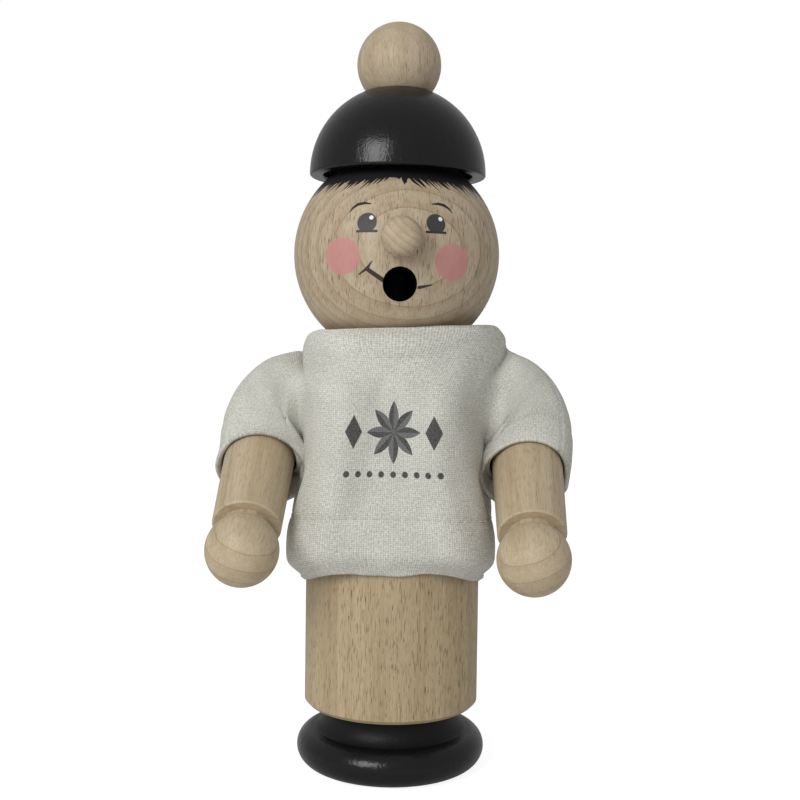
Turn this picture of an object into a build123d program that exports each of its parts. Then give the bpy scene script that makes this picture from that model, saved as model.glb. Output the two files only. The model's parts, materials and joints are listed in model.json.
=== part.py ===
from build123d import *
import math
import os

# A turned beech incense smoker: a little man in a cloth shirt and a black cap.
# Millimetres, +Z up, the underside of the foot at z = 0, the man faces -Y.
# Left and right are the man's own: his left arm is on the +X side.

# Stand: the black foot and the legs
FOOT_RADIUS = 23.1
FOOT_EDGE_RADIUS = 4.4
FOOT_NECK_RADIUS = 17.6
FOOT_NECK_HEIGHT = 6.3
FOOT_COVE_DEPTH = 1.4
FOOT_DOWEL_RADIUS = 4.0
FOOT_DOWEL_IN_FOOT = 9.0
FOOT_DOWEL_IN_LEGS = 13.0
BODY_RADIUS = 21.3
LEG_LENGTH = 41.0
LEG_EDGE = 0.9
SPIGOT_HEIGHT = 7.0
SPIGOT_EDGE = 0.6
SPIGOT_CLEARANCE = 0.2
VENT_RADIUS = 2.0
VENT_BELOW_SPLIT = 18.0

# Burner: a pressed tray, its two nails and a cone
TRAY_RADIUS = 8.4
TRAY_HEIGHT = 2.2
TRAY_WALL = 0.6
NAIL_RADIUS = 0.6
NAIL_HEAD_RADIUS = 1.1
NAIL_HEAD_HEIGHT = 0.5
NAIL_LENGTH = 8.0
CONE_RADIUS = 5.0
CONE_HEIGHT = 22.0
CONE_TIP_RADIUS = 1.0

# Upper half: the hollow trunk and the head
TORSO_LENGTH = 48.9
TORSO_BORE_RADIUS = 14.0
TORSO_TOP_EDGE = 2.0
TORSO_LEAD_IN = 0.6
SEAT_WIDTH = 1.26
HEAD_RADIUS = 25.0
HEAD_TURN = 4.0
FLUE_RADIUS = 6.0
MOUTH_RADIUS = 3.9
MOUTH_DROP = 8.1
NOSE_RISE = 2.1
NOSE_RADIUS = 4.6
NOSE_BASE_RADIUS = 4.0
NOSE_LENGTH = 7.6
NOSE_SHANK_RADIUS = 2.8
NOSE_SHANK_LENGTH = 7.0

# Cap and its ball
CAP_RADIUS = 21.4
CAP_RISE = 19.6
CAP_RIM_DROP = 0.6
CAP_RIM_EDGE = 0.6
CAP_RIM_WIDTH = 3.3
CAP_RECESS_DEPTH = 3.0
BALL_RADIUS = 10.2
BALL_RISE = 26.5
CAP_DOWEL_RADIUS = 3.0
CAP_DOWEL_IN_HEAD = 9.0
CAP_DOWEL_IN_BALL = 10.0

# Arms, turned with their hands, and the pegs they swing on
SHOULDER_DROP = 25.5
ARM_STANDOFF = 2.4
ARM_TOP_RADIUS = 8.6
ARM_WRIST_RADIUS = 7.9
ARM_LENGTH = 38.5
WRIST_NECK_RADIUS = 5.6
WRIST_NECK_LENGTH = 1.2
WRIST_EDGE = 0.4
HAND_RADIUS = 8.3
PEG_RADIUS = 4.0
PEG_IN_ARM = 8.0
PEG_SETBACK = 1.0
PEG_CLEARANCE = 0.06
LEFT_ARM_TILT = 52.6
RIGHT_ARM_TILT = 54.4

# Shirt
CLOTH = 0.7
CLOTH_GAP = 0.35
SHIRT_DEPTH_EASE = 2.1
SHIRT_CORNER_RADIUS = 11.5
HEM_SIDE_DROP = 10.2
HEM_ARCH = 3.4
HEM_CURL = 1.6
HEM_CURL_HEIGHT = 4.6
HEM_SWELL = 4.2
HEM_SWELL_HEIGHT = 15.0
SWELL_AT_EDGE = 0.6
SWELL_IN_FRONT = 0.35
SWELL_BEHIND = 0.5
SWELL_START = 0.45
SWELL_PEAK = 0.15
CHEST_DROP = 12.0
NECK_DROP = 4.5
NECK_EASE = 0.5
NECK_CORNER_RADIUS = 21.0
COLLAR_RISE = 2.0
COLLAR_ROLL = 2.0
NECKLINE_EASE = 1.4
ARMHOLE_EASE = 1.5
SLEEVE_WIDTH = 28.5
SLEEVE_TOP_DROP = 4.2
SLEEVE_LOW_DROP = 8.2
SLEEVE_LEAN = 2.2
SLEEVE_CORNER_RADIUS = 9.5
SLEEVE_CROWN_RISE = 3.5
SLEEVE_CROWN_SLOPE = 49.0
SLEEVE_CROWN_REACH = 13.0
SLEEVE_LENGTH = 8.5
SLEEVE_EASE = 1.6
SLEEVE_HEM_RISE = 1.0
SLEEVE_HEM_SLANT = 0.29
SLEEVE_HEM_SLOPE = 0.39

# Fits
GLUE_GAP = 0.05
HOLE_END_GAP = 0.3

# Heights and places that follow
FOOT_TOP = 2 * FOOT_EDGE_RADIUS + FOOT_NECK_HEIGHT
SPLIT = FOOT_TOP + LEG_LENGTH
SPIGOT_TOP = SPLIT + SPIGOT_HEIGHT
SPIGOT_RADIUS = TORSO_BORE_RADIUS - SPIGOT_CLEARANCE
TRAY_FLOOR = SPIGOT_TOP + TRAY_WALL
VENT_OFFSET = (TRAY_RADIUS + SPIGOT_RADIUS) / 2
NAIL_OFFSET = (CONE_RADIUS + TRAY_RADIUS - TRAY_WALL) / 2
TORSO_TOP = SPLIT + TORSO_LENGTH
HEAD_HEIGHT = TORSO_TOP + math.sqrt(HEAD_RADIUS**2 - (TORSO_BORE_RADIUS + SEAT_WIDTH) ** 2)
CAP_HEIGHT = HEAD_HEIGHT + CAP_RISE
CAP_RECESS_RADIUS = CAP_RADIUS - CAP_RIM_WIDTH
BALL_HEIGHT = CAP_HEIGHT + BALL_RISE
SHOULDER_HEIGHT = TORSO_TOP - SHOULDER_DROP
ARM_PLANE = BODY_RADIUS + ARM_STANDOFF + ARM_TOP_RADIUS
SHIRT_HALF_WIDTH = BODY_RADIUS + CLOTH_GAP + CLOTH
SHIRT_HALF_DEPTH = SHIRT_HALF_WIDTH + SHIRT_DEPTH_EASE
SHIRT_TOP = TORSO_TOP + COLLAR_RISE
SLEEVE_ROOT = SHIRT_HALF_WIDTH + CLOTH_GAP

RISING = (Align.CENTER, Align.CENTER, Align.MIN)


def turned(*edges):
    """The solid that an outline of radius and height turns about Z."""
    return revolve(Plane.XZ * make_face(edges), Axis.Z)


def chain(*points):
    """Straight edges from point to point."""
    return [Line(a, b) for a, b in zip(points, points[1:])]


def rod(radius, low, high):
    """An upright round bar on the axis between two heights."""
    return Pos(0, 0, low) * Cylinder(radius, high - low, align=RISING)


def bar_to_front(radius, depth, height):
    """A round bar along Y at a height, from a depth out past the face."""
    length = depth + 2 * HEAD_RADIUS
    return Pos(0, depth, height) * Rot(90, 0, 0) * Cylinder(radius, length, align=RISING)


def bar_along_x(radius, near, far):
    """A round bar along X through the shoulders, between two distances from the axis."""
    return Pos(near, 0, SHOULDER_HEIGHT) * Rot(0, 90, 0) * Cylinder(radius, far - near, align=RISING)


def on_right(solid):
    """The same solid on the man's right side."""
    return mirror(solid, about=Plane.YZ)


def base_foot():
    ring = FOOT_RADIUS - FOOT_EDGE_RADIUS
    ring_top = 2 * FOOT_EDGE_RADIUS
    cove = ((ring + FOOT_NECK_RADIUS) / 2 - FOOT_COVE_DEPTH, (ring_top + FOOT_TOP) / 2)
    foot = turned(
        Line((0, 0), (ring, 0)),
        ThreePointArc((ring, 0), (FOOT_RADIUS, FOOT_EDGE_RADIUS), (ring, ring_top)),
        ThreePointArc((ring, ring_top), cove, (FOOT_NECK_RADIUS, FOOT_TOP)),
        *chain((FOOT_NECK_RADIUS, FOOT_TOP), (0, FOOT_TOP), (0, 0)),
    )
    return foot - rod(
        FOOT_DOWEL_RADIUS + GLUE_GAP, FOOT_TOP - FOOT_DOWEL_IN_FOOT - HOLE_END_GAP, FOOT_TOP
    )


def foot_dowel():
    return rod(FOOT_DOWEL_RADIUS, FOOT_TOP - FOOT_DOWEL_IN_FOOT, FOOT_TOP + FOOT_DOWEL_IN_LEGS)


def legs():
    block = turned(
        *chain(
            (0, FOOT_TOP),
            (BODY_RADIUS - LEG_EDGE, FOOT_TOP),
            (BODY_RADIUS, FOOT_TOP + LEG_EDGE),
            (BODY_RADIUS, SPLIT),
            (SPIGOT_RADIUS, SPLIT),
            (SPIGOT_RADIUS, SPIGOT_TOP - SPIGOT_EDGE),
            (SPIGOT_RADIUS - SPIGOT_EDGE, SPIGOT_TOP),
            (0, SPIGOT_TOP),
            (0, FOOT_TOP),
        )
    )
    vent = SPLIT - VENT_BELOW_SPLIT
    riser = Pos(0, VENT_OFFSET) * rod(VENT_RADIUS, vent, SPIGOT_TOP)
    inlet = Pos(0, VENT_OFFSET, vent) * Rot(-90, 0, 0) * Cylinder(VENT_RADIUS, BODY_RADIUS, align=RISING)
    dowel_hole = rod(
        FOOT_DOWEL_RADIUS + GLUE_GAP, FOOT_TOP, FOOT_TOP + FOOT_DOWEL_IN_LEGS + HOLE_END_GAP
    )
    return block - riser - inlet - dowel_hole - nail_bars(NAIL_RADIUS + GLUE_GAP)


def nail_bars(radius):
    """The straight shanks of the tray's nails, or the holes for them."""
    end = TRAY_FLOOR - NAIL_LENGTH
    return [Pos(side * NAIL_OFFSET) * rod(radius, end, TRAY_FLOOR) for side in (-1, 1)]


def incense_tray():
    rim = SPIGOT_TOP + TRAY_HEIGHT
    inner = TRAY_RADIUS - TRAY_WALL
    dish = turned(
        *chain(
            (0, SPIGOT_TOP),
            (TRAY_RADIUS, SPIGOT_TOP),
            (TRAY_RADIUS, rim),
            (inner, rim),
            (inner, TRAY_FLOOR),
            (0, TRAY_FLOOR),
            (0, SPIGOT_TOP),
        )
    )
    return dish - nail_bars(NAIL_RADIUS + GLUE_GAP)


def tray_nails():
    nails = []
    for side, shank in zip((-1, 1), nail_bars(NAIL_RADIUS)):
        head = rod(NAIL_HEAD_RADIUS, TRAY_FLOOR, TRAY_FLOOR + NAIL_HEAD_HEIGHT)
        nails.append(shank + Pos(side * NAIL_OFFSET) * head)
    return Compound(nails)


def incense_cone():
    tip = TRAY_FLOOR + CONE_HEIGHT
    return turned(
        *chain(
            (0, tip),
            (0, TRAY_FLOOR),
            (CONE_RADIUS, TRAY_FLOOR),
            (CONE_TIP_RADIUS, tip - CONE_TIP_RADIUS),
        ),
        RadiusArc((CONE_TIP_RADIUS, tip - CONE_TIP_RADIUS), (0, tip), -CONE_TIP_RADIUS),
    )


def torso():
    tube = turned(
        *chain(
            (TORSO_BORE_RADIUS + TORSO_LEAD_IN, SPLIT),
            (BODY_RADIUS, SPLIT),
            (BODY_RADIUS, TORSO_TOP - TORSO_TOP_EDGE),
        ),
        RadiusArc(
            (BODY_RADIUS, TORSO_TOP - TORSO_TOP_EDGE),
            (BODY_RADIUS - TORSO_TOP_EDGE, TORSO_TOP),
            -TORSO_TOP_EDGE,
        ),
        *chain(
            (BODY_RADIUS - TORSO_TOP_EDGE, TORSO_TOP),
            (TORSO_BORE_RADIUS, TORSO_TOP),
            (TORSO_BORE_RADIUS, SPLIT + TORSO_LEAD_IN),
            (TORSO_BORE_RADIUS + TORSO_LEAD_IN, SPLIT),
        ),
    )
    peg_hole = bar_along_x(PEG_RADIUS + PEG_CLEARANCE, -BODY_RADIUS, BODY_RADIUS)
    return tube - head_ball(GLUE_GAP) - peg_hole


def head_ball(gap):
    """The head's plain ball, grown by a gap."""
    return Pos(0, 0, HEAD_HEIGHT) * Sphere(HEAD_RADIUS + gap)


def head():
    mouth = HEAD_HEIGHT - MOUTH_DROP
    flue = rod(FLUE_RADIUS, HEAD_HEIGHT - HEAD_RADIUS, mouth + MOUTH_RADIUS)
    nose_hole = bar_to_front(
        NOSE_SHANK_RADIUS + GLUE_GAP, -HEAD_RADIUS + NOSE_SHANK_LENGTH + HOLE_END_GAP, HEAD_HEIGHT + NOSE_RISE
    )
    ball = head_ball(0) - flue - bar_to_front(MOUTH_RADIUS, 0, mouth) - nose_hole - cap_dowel_hole()
    return Rot(0, 0, HEAD_TURN) * ball


def nose():
    base = turned(
        Line((0, -NOSE_BASE_RADIUS), (NOSE_BASE_RADIUS, -NOSE_BASE_RADIUS)),
        Line((NOSE_BASE_RADIUS, -NOSE_BASE_RADIUS), (NOSE_BASE_RADIUS, 0)),
        Spline(
            (NOSE_BASE_RADIUS, 0),
            (NOSE_RADIUS, NOSE_LENGTH / 2),
            (0, NOSE_LENGTH),
            tangents=((0.3, 1), (-1, 0)),
        ),
        Line((0, NOSE_LENGTH), (0, -NOSE_BASE_RADIUS)),
    )
    place = Pos(0, -HEAD_RADIUS, HEAD_HEIGHT + NOSE_RISE) * Rot(90, 0, 0)
    knob = place * base - head_ball(GLUE_GAP)
    shank = place * rod(NOSE_SHANK_RADIUS, -NOSE_SHANK_LENGTH, NOSE_LENGTH / 2)
    return Rot(0, 0, HEAD_TURN) * (knob + shank)


def cap_dowel_hole():
    return rod(
        CAP_DOWEL_RADIUS + GLUE_GAP,
        HEAD_HEIGHT + HEAD_RADIUS - CAP_DOWEL_IN_HEAD - HOLE_END_GAP,
        BALL_HEIGHT - BALL_RADIUS + CAP_DOWEL_IN_BALL + HOLE_END_GAP,
    )


def cap_dowel():
    return rod(
        CAP_DOWEL_RADIUS,
        HEAD_HEIGHT + HEAD_RADIUS - CAP_DOWEL_IN_HEAD,
        BALL_HEIGHT - BALL_RADIUS + CAP_DOWEL_IN_BALL,
    )


def cap():
    rim = CAP_HEIGHT - CAP_RIM_DROP
    rim_radius = math.sqrt(CAP_RADIUS**2 - CAP_RIM_DROP**2)
    dome = turned(
        *chain((0, rim), (rim_radius, rim)),
        ThreePointArc(
            (rim_radius, rim),
            (CAP_RADIUS * math.cos(math.pi / 4), CAP_HEIGHT + CAP_RADIUS * math.sin(math.pi / 4)),
            (0, CAP_HEIGHT + CAP_RADIUS),
        ),
        Line((0, CAP_HEIGHT + CAP_RADIUS), (0, rim)),
    )
    hollow = dome - rod(CAP_RECESS_RADIUS, rim, rim + CAP_RECESS_DEPTH)
    lip = hollow.edges().filter_by(GeomType.CIRCLE).group_by(Axis.Z)[0]
    shell = fillet(lip, CAP_RIM_EDGE)
    seat = Pos(0, 0, BALL_HEIGHT) * Sphere(BALL_RADIUS + GLUE_GAP)
    return shell - head_ball(GLUE_GAP) - seat - cap_dowel_hole()


def cap_ball():
    return Pos(0, 0, BALL_HEIGHT) * Sphere(BALL_RADIUS) - cap_dowel_hole()


def arm(tilt):
    """A left arm and hand swung forward of straight down by a tilt in degrees."""
    hand_top = ARM_LENGTH - math.sqrt(HAND_RADIUS**2 - WRIST_NECK_RADIUS**2)
    wrist = hand_top - WRIST_NECK_LENGTH
    hand_side = (HAND_RADIUS, -ARM_LENGTH)
    limb = turned(
        RadiusArc((0, ARM_TOP_RADIUS), (ARM_TOP_RADIUS, 0), ARM_TOP_RADIUS),
        *chain(
            (ARM_TOP_RADIUS, 0),
            (ARM_WRIST_RADIUS, WRIST_EDGE - wrist),
            (ARM_WRIST_RADIUS - WRIST_EDGE, -wrist),
            (WRIST_NECK_RADIUS, -wrist),
            (WRIST_NECK_RADIUS, -hand_top),
        ),
        ThreePointArc((WRIST_NECK_RADIUS, -hand_top), hand_side, (0, -ARM_LENGTH - HAND_RADIUS)),
        Line((0, -ARM_LENGTH - HAND_RADIUS), (0, ARM_TOP_RADIUS)),
    )
    peg_hole = bar_along_x(PEG_RADIUS + GLUE_GAP, SHIRT_HALF_WIDTH, peg_end() + HOLE_END_GAP)
    return Pos(ARM_PLANE, 0, SHOULDER_HEIGHT) * Rot(-tilt, 0, 0) * limb - peg_hole


def peg_end():
    """How far from the axis a shoulder peg ends inside its arm."""
    return ARM_PLANE - ARM_TOP_RADIUS + PEG_IN_ARM


def shoulder_peg():
    return bar_along_x(PEG_RADIUS, TORSO_BORE_RADIUS + PEG_SETBACK, peg_end())


def shirt_section(height, width, depth, corner, swell):
    """A level of the shirt's trunk, its sides swelling out behind the reach of the arms."""
    flat, deep = width - corner, depth - corner
    front, back = width + SWELL_IN_FRONT * swell, width + SWELL_BEHIND * swell
    tuck = corner * (1 - math.sqrt(1 / 2))
    edges = [Line((-flat, -depth), (flat, -depth)), Line((-flat, depth), (flat, depth))]
    for side in (-1, 1):
        start = (side * front, -SWELL_START * deep)
        peak = (side * (width + swell), SWELL_PEAK * deep)
        end = (side * back, deep)
        edges += [
            ThreePointArc((side * flat, -depth), (side * (front - tuck), tuck - depth), (side * front, -deep)),
            Line((side * front, -deep), start),
            ThreePointArc(start, peak, end) if swell else Line(start, end),
            ThreePointArc(end, (side * (back - tuck), depth - tuck), (side * flat, depth)),
        ]
    return Pos(0, 0, height) * make_face(edges)


def shirt_form(inset):
    """The shirt's trunk as a solid block, drawn in by an inset on every side."""
    hem = SPLIT - HEM_SIDE_DROP
    collar = SHIRT_HALF_WIDTH - COLLAR_ROLL
    levels = (
        (hem, SHIRT_HALF_WIDTH, SHIRT_HALF_DEPTH - HEM_CURL, SHIRT_CORNER_RADIUS, SWELL_AT_EDGE * HEM_SWELL),
        (hem + HEM_CURL_HEIGHT, SHIRT_HALF_WIDTH, SHIRT_HALF_DEPTH, SHIRT_CORNER_RADIUS, HEM_SWELL),
        (hem + HEM_SWELL_HEIGHT, SHIRT_HALF_WIDTH, SHIRT_HALF_DEPTH, SHIRT_CORNER_RADIUS, 0),
        (TORSO_TOP - CHEST_DROP, SHIRT_HALF_WIDTH, SHIRT_HALF_DEPTH, SHIRT_CORNER_RADIUS, 0),
        (TORSO_TOP - NECK_DROP, SHIRT_HALF_WIDTH, SHIRT_HALF_WIDTH + NECK_EASE, NECK_CORNER_RADIUS, 0),
        (TORSO_TOP, SHIRT_HALF_WIDTH, SHIRT_HALF_WIDTH, NECK_CORNER_RADIUS, 0),
        (SHIRT_TOP - inset, collar, collar, NECK_CORNER_RADIUS - COLLAR_ROLL, 0),
    )
    sections = []
    for height, width, depth, corner, swell in levels:
        sections.append(shirt_section(height, width - inset, depth - inset, corner - inset, swell))
    return loft(sections, ruled=True)


def shirt_body():
    head_at_collar = math.sqrt(HEAD_RADIUS**2 - (HEAD_HEIGHT - SHIRT_TOP) ** 2)
    neckline = rod(head_at_collar + NECKLINE_EASE, TORSO_TOP, HEAD_HEIGHT)
    armholes = bar_along_x(PEG_RADIUS + ARMHOLE_EASE, -2 * BODY_RADIUS, 2 * BODY_RADIUS)
    side = SHIRT_HALF_WIDTH + SWELL_AT_EDGE * HEM_SWELL
    arch_radius = (side**2 + HEM_ARCH**2) / (2 * HEM_ARCH)
    arch_height = SPLIT - HEM_SIDE_DROP + HEM_ARCH - arch_radius
    arch = Pos(0, 0, arch_height) * Rot(90, 0, 0) * Cylinder(arch_radius, 4 * BODY_RADIUS)
    return shirt_form(0) - shirt_form(CLOTH) - neckline - armholes - arch


def sleeve_rings(tilt):
    """The armhole, shoulder and hem rings of a left sleeve: centre, outward, forward, half reach."""
    turn, slope = math.radians(tilt), math.radians(SLEEVE_CROWN_SLOPE)
    down = Vector(0, -math.sin(turn), -math.cos(turn))
    ahead = Vector(0, -math.cos(turn), math.sin(turn))
    aside = Vector(1, 0, 0)
    root_top, root_low = TORSO_TOP - SLEEVE_TOP_DROP, SHOULDER_HEIGHT - SLEEVE_LOW_DROP
    root = Vector(SLEEVE_ROOT, -SLEEVE_LEAN, (root_top + root_low) / 2)
    diagonal = Vector(math.cos(slope), 0, math.sin(slope))
    half_turn = Vector(0, -math.cos(turn / 2), math.sin(turn / 2))
    diagonal = (diagonal - half_turn * diagonal.dot(half_turn)).normalized()
    crown_aside = SLEEVE_ROOT + CLOTH_GAP + SLEEVE_CROWN_REACH * diagonal.X
    crown = Vector(crown_aside, -SLEEVE_LEAN, SHOULDER_HEIGHT + SLEEVE_CROWN_RISE)
    hem_reach = ARM_TOP_RADIUS + SLEEVE_EASE
    hem = Vector(SLEEVE_ROOT + hem_reach, 0, SHOULDER_HEIGHT) + down * SLEEVE_LENGTH + ahead * SLEEVE_HEM_RISE
    forward = (ahead + down * SLEEVE_HEM_SLOPE).normalized()
    outward = aside - down * SLEEVE_HEM_SLANT
    outward = (outward - forward * outward.dot(forward)).normalized()
    return (
        (root, Vector(0, 0, 1), Vector(0, -1, 0), (root_top - root_low) / 2),
        (crown, diagonal, half_turn, SLEEVE_CROWN_REACH),
        (hem, outward, forward, hem_reach / outward.X),
    )


def sleeve_form(tilt, inset, overrun):
    """A left sleeve as a block, drawn in by an inset and run past its two ends."""
    sections = []
    for ring, push in zip(sleeve_rings(tilt), (-overrun, 0, overrun)):
        centre, outward, forward, reach = ring
        along = outward.cross(forward)
        size = (2 * (reach - inset), SLEEVE_WIDTH - 2 * inset)
        outline = RectangleRounded(*size, SLEEVE_CORNER_RADIUS - inset)
        sections.append(Plane(origin=centre + along * push, x_dir=outward, z_dir=along) * outline)
    return loft(sections)


def sleeve(tilt):
    return sleeve_form(tilt, 0, 0) - sleeve_form(tilt, CLOTH, 2 * CLOTH)


PIECES = {
    "base_foot": base_foot(),
    "foot_dowel": foot_dowel(),
    "legs": legs(),
    "incense_tray": incense_tray(),
    "tray_nails": tray_nails(),
    "incense_cone": incense_cone(),
    "torso": torso(),
    "head": head(),
    "nose": nose(),
    "cap": cap(),
    "cap_dowel": cap_dowel(),
    "cap_ball": cap_ball(),
    "left_arm": arm(LEFT_ARM_TILT),
    "right_arm": on_right(arm(RIGHT_ARM_TILT)),
    "left_shoulder_peg": shoulder_peg(),
    "right_shoulder_peg": on_right(shoulder_peg()),
    "shirt_body": shirt_body(),
    "left_sleeve": sleeve(LEFT_ARM_TILT),
    "right_sleeve": on_right(sleeve(RIGHT_ARM_TILT)),
}

os.makedirs("parts", exist_ok=True)
for name, piece in PIECES.items():
    export_step(piece, f"parts/{name}.step")
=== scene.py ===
"""A turned beech incense smoker: a little man in a cloth shirt and a black cap, seen on a white table."""
import json
import math

import bpy
import numpy as np
from mathutils import Matrix, Vector


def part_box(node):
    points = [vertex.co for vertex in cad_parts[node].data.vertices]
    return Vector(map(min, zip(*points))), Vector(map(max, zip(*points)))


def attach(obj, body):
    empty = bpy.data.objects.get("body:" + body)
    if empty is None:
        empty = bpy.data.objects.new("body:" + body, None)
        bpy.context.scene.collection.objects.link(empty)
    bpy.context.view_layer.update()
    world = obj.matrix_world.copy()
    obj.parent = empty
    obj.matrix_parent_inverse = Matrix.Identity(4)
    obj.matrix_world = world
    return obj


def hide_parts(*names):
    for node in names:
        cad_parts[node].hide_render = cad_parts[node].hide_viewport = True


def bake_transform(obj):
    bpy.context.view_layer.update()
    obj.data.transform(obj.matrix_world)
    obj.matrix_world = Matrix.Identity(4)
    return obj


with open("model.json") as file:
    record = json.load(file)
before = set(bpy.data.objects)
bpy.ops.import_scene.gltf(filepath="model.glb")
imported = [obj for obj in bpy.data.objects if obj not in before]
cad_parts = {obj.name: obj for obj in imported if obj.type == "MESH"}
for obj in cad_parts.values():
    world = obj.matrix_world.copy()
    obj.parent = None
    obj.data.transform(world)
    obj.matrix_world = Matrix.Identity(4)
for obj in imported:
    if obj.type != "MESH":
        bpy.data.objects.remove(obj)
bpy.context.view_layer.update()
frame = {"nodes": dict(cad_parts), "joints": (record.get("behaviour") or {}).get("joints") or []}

MM = 0.001

# Camera, fitted to the photograph of 800 by 800 pixels
PHOTO_PIXELS = 800
FOCAL_PIXELS = 1171
SENSOR_WIDTH = 36.0
CAMERA_DISTANCE = 288 * MM
CAMERA_HEIGHT = 102.1 * MM
CAMERA_AZIMUTH = math.radians(2.0)
CAMERA_YAW = math.radians(-0.26)
CAMERA_PITCH = math.radians(2.5)
CAMERA_ROLL = math.radians(0.8)

# Places that the frame gives
NODES = frame["nodes"]
HEAD_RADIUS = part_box("head")[1].x
DOWEL_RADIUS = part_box("cap_dowel")[1].x
HEAD_CENTRE = Vector((0, 0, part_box("head")[1].z - math.sqrt(HEAD_RADIUS**2 - DOWEL_RADIUS**2)))
NOSE_CENTRE = (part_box("nose")[0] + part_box("nose")[1]) / 2
FACE_TURN = math.atan2(NOSE_CENTRE.x, -NOSE_CENTRE.y)
BODY_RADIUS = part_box("torso")[1].x
TORSO_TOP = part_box("torso")[1].z
LEGS_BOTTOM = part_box("legs")[0].z
FOOT_RING_TOP = 0.58 * LEGS_BOTTOM
JOINTS = {joint["child"]: joint for joint in frame["joints"]}
SIDES = {"left": 1, "right": -1}
PIVOTS = {side: Vector(JOINTS[side + "_arm"]["pos_m"]) for side in SIDES}
LEFT_PIVOTS = {side: Vector((abs(pivot.x), 0, pivot.z)) for side, pivot in PIVOTS.items()}


def arm_tilt(side):
    """How far an arm is swung forward of straight down, from its pivot and the far pole of its hand."""
    reaches = (vertex.co - PIVOTS[side] for vertex in NODES[side + "_arm"].data.vertices)
    far = max(reaches, key=lambda reach: reach.length_squared)
    return math.atan2(-far.y, -far.z)


def arm_way(tilt):
    """The direction from the shoulder to the hand of an arm swung forward of straight down."""
    return Vector((0, -math.sin(tilt), -math.cos(tilt)))


ARM_TILTS = {side: arm_tilt(side) for side in SIDES}

# Shirt: front and back are cut alike, as a T of body and sleeves
HALF_SPAN = 64.4 * MM
HALF_BODY = 42.0 * MM
HALF_NECK = 26.6 * MM
SHIRT_LENGTH = 56.0 * MM
SLEEVE_WIDTH = 37.8 * MM
ARMPIT = SHIRT_LENGTH - SLEEVE_WIDTH
CELL = 1.4 * MM
CLOTH = 0.9 * MM
FOLD = 0.45 * MM
FOLD_EDGE = 0.8 * MM
HEM_BAND = 12.6 * MM
HEM_CURL = 1.2 * MM
HEM_CURL_HEIGHT = 4.5 * MM
SLEEVE_BAND = 7.7 * MM
COLLAR_BAND = 7.0 * MM
STITCH_PITCH = 2.4 * MM
STITCH_LENGTH = 1.7 * MM
STITCH_RADIUS = 0.23 * MM
STITCH_DIP = 0.3 * MM
STITCH_DIP_WIDTH = 0.7 * MM
SEAM_LIFT = 0.22 * MM
SEAM_LIFT_WIDTH = 1.8 * MM
SEAM_DIP = 0.3 * MM
SEAM_DIP_WIDTH = 0.55 * MM
BACK_OFFSET = 0.2

# Room beside the shirt for the arms at their lowest, by their radius at distances from the shoulder
ARM_STATIONS = (0, 33 * MM, 36 * MM)
ARM_RADII = (8.65 * MM, 8.0 * MM, 8.6 * MM)
ARM_GAP = 0.1 * MM
ARM_EASE = 6.0 * MM

# Shirt as it is put on: a boxy tube with its sleeves around the arms
START_TOP = TORSO_TOP + 1.6 * MM
BOX_DEPTH = 24.0 * MM
BOX_CORNER = 12.0 * MM
BOX_FLAT = HALF_BODY - BOX_CORNER * math.pi / 2 - (BOX_DEPTH - BOX_CORNER)
CHEST_SHARE = 0.87
CHEST_HEIGHTS = (8.0 * MM, 26.0 * MM)
HEM_DROPS = {-1: 4.6 * MM, 1: 4.0 * MM}
HEM_DROP_WIDTHS = (8.0 * MM, 30.0 * MM)
HEM_FLARE = 1.8 * MM
HEM_ROLL = 3.0 * MM
HEM_ROLL_HEIGHT = 5.0 * MM
NECK_DEPTH = 19.4 * MM
NECK_WIDTHS = {-1: 21.8 * MM, 1: 26.6 * MM}
NECK_GATHER = 16.0 * MM
NECK_TILT = 0.035
COLLAR_CORNER = 4.0 * MM
COLLAR_STAND = 0.8 * MM
COLLAR_LEAN = 0.25
SHOULDER_END = HALF_NECK + 2.4 * MM
SHOULDER_SLOPE = 0.35
ARMHOLE = Vector((24.0, -1.0, 86.5)) * MM
ARMHOLE_STEP = 1.5 * MM
ARMHOLE_DEPTH = 9.5 * MM
ARMHOLE_RISE = 14.5 * MM
CROWN = Vector((36.0, -2.0, 85.0)) * MM
CUFF_REACH = 11.5 * MM
CUFF_RADIUS = 10.2 * MM
SLEEVE_SHIFTS = {"left": 1.0 * MM, "right": 2.0 * MM}
CUFF_SLANT = 2.0 * MM
CUFF_TURN = math.radians(46)
SLEEVE_SWELL = 0.8 * MM
SLEEVE_HEIGHTS = (14.0 * MM, 38.0 * MM)
SLEEVE_BEFORE = 2.0 * MM
SLEEVE_AFTER = 8.0 * MM
SLEEVE_JOIN = 3.0 * MM
ARMPIT_REACH = 12.0 * MM
ARM_ROOM = 9.2 * MM
BODY_ROOM = 12.1 * MM
TRUNK_ROOM = 0.8 * MM

# Simulation, at twenty times the size so that the cloth solver works at the scale of clothes
SIM_SCALE = 20.0
SETTLE_FRAMES = 45
COLLIDER_SIDES = 48

# Light: a soft window to the left of the camera and a white room with a white table
KEY_TURN = math.radians(-30)
KEY_RISE = math.radians(24)
KEY_POWER = 3.1
KEY_SIZE = 0.34
KEY_DISTANCE = 0.75
KEY_AIM = 0.75
SKY = 0.48
TABLE_HALF = 3.0
TABLE_GREY = (0.3, 0.3, 0.3, 1)
TABLE_GLOW = 0.88
TABLE_BOUNCE = (0.8, 0.8, 0.8, 1)


def smooth_step(low, high, value):
    t = min(max((value - low) / (high - low), 0.0), 1.0)
    return t * t * (3 - 2 * t)


def mesh_object(name, points, faces):
    mesh = bpy.data.meshes.new(name)
    mesh.from_pydata(points, [], faces)
    made = bpy.data.objects.new(name, mesh)
    bpy.context.scene.collection.objects.link(made)
    return made


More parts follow.
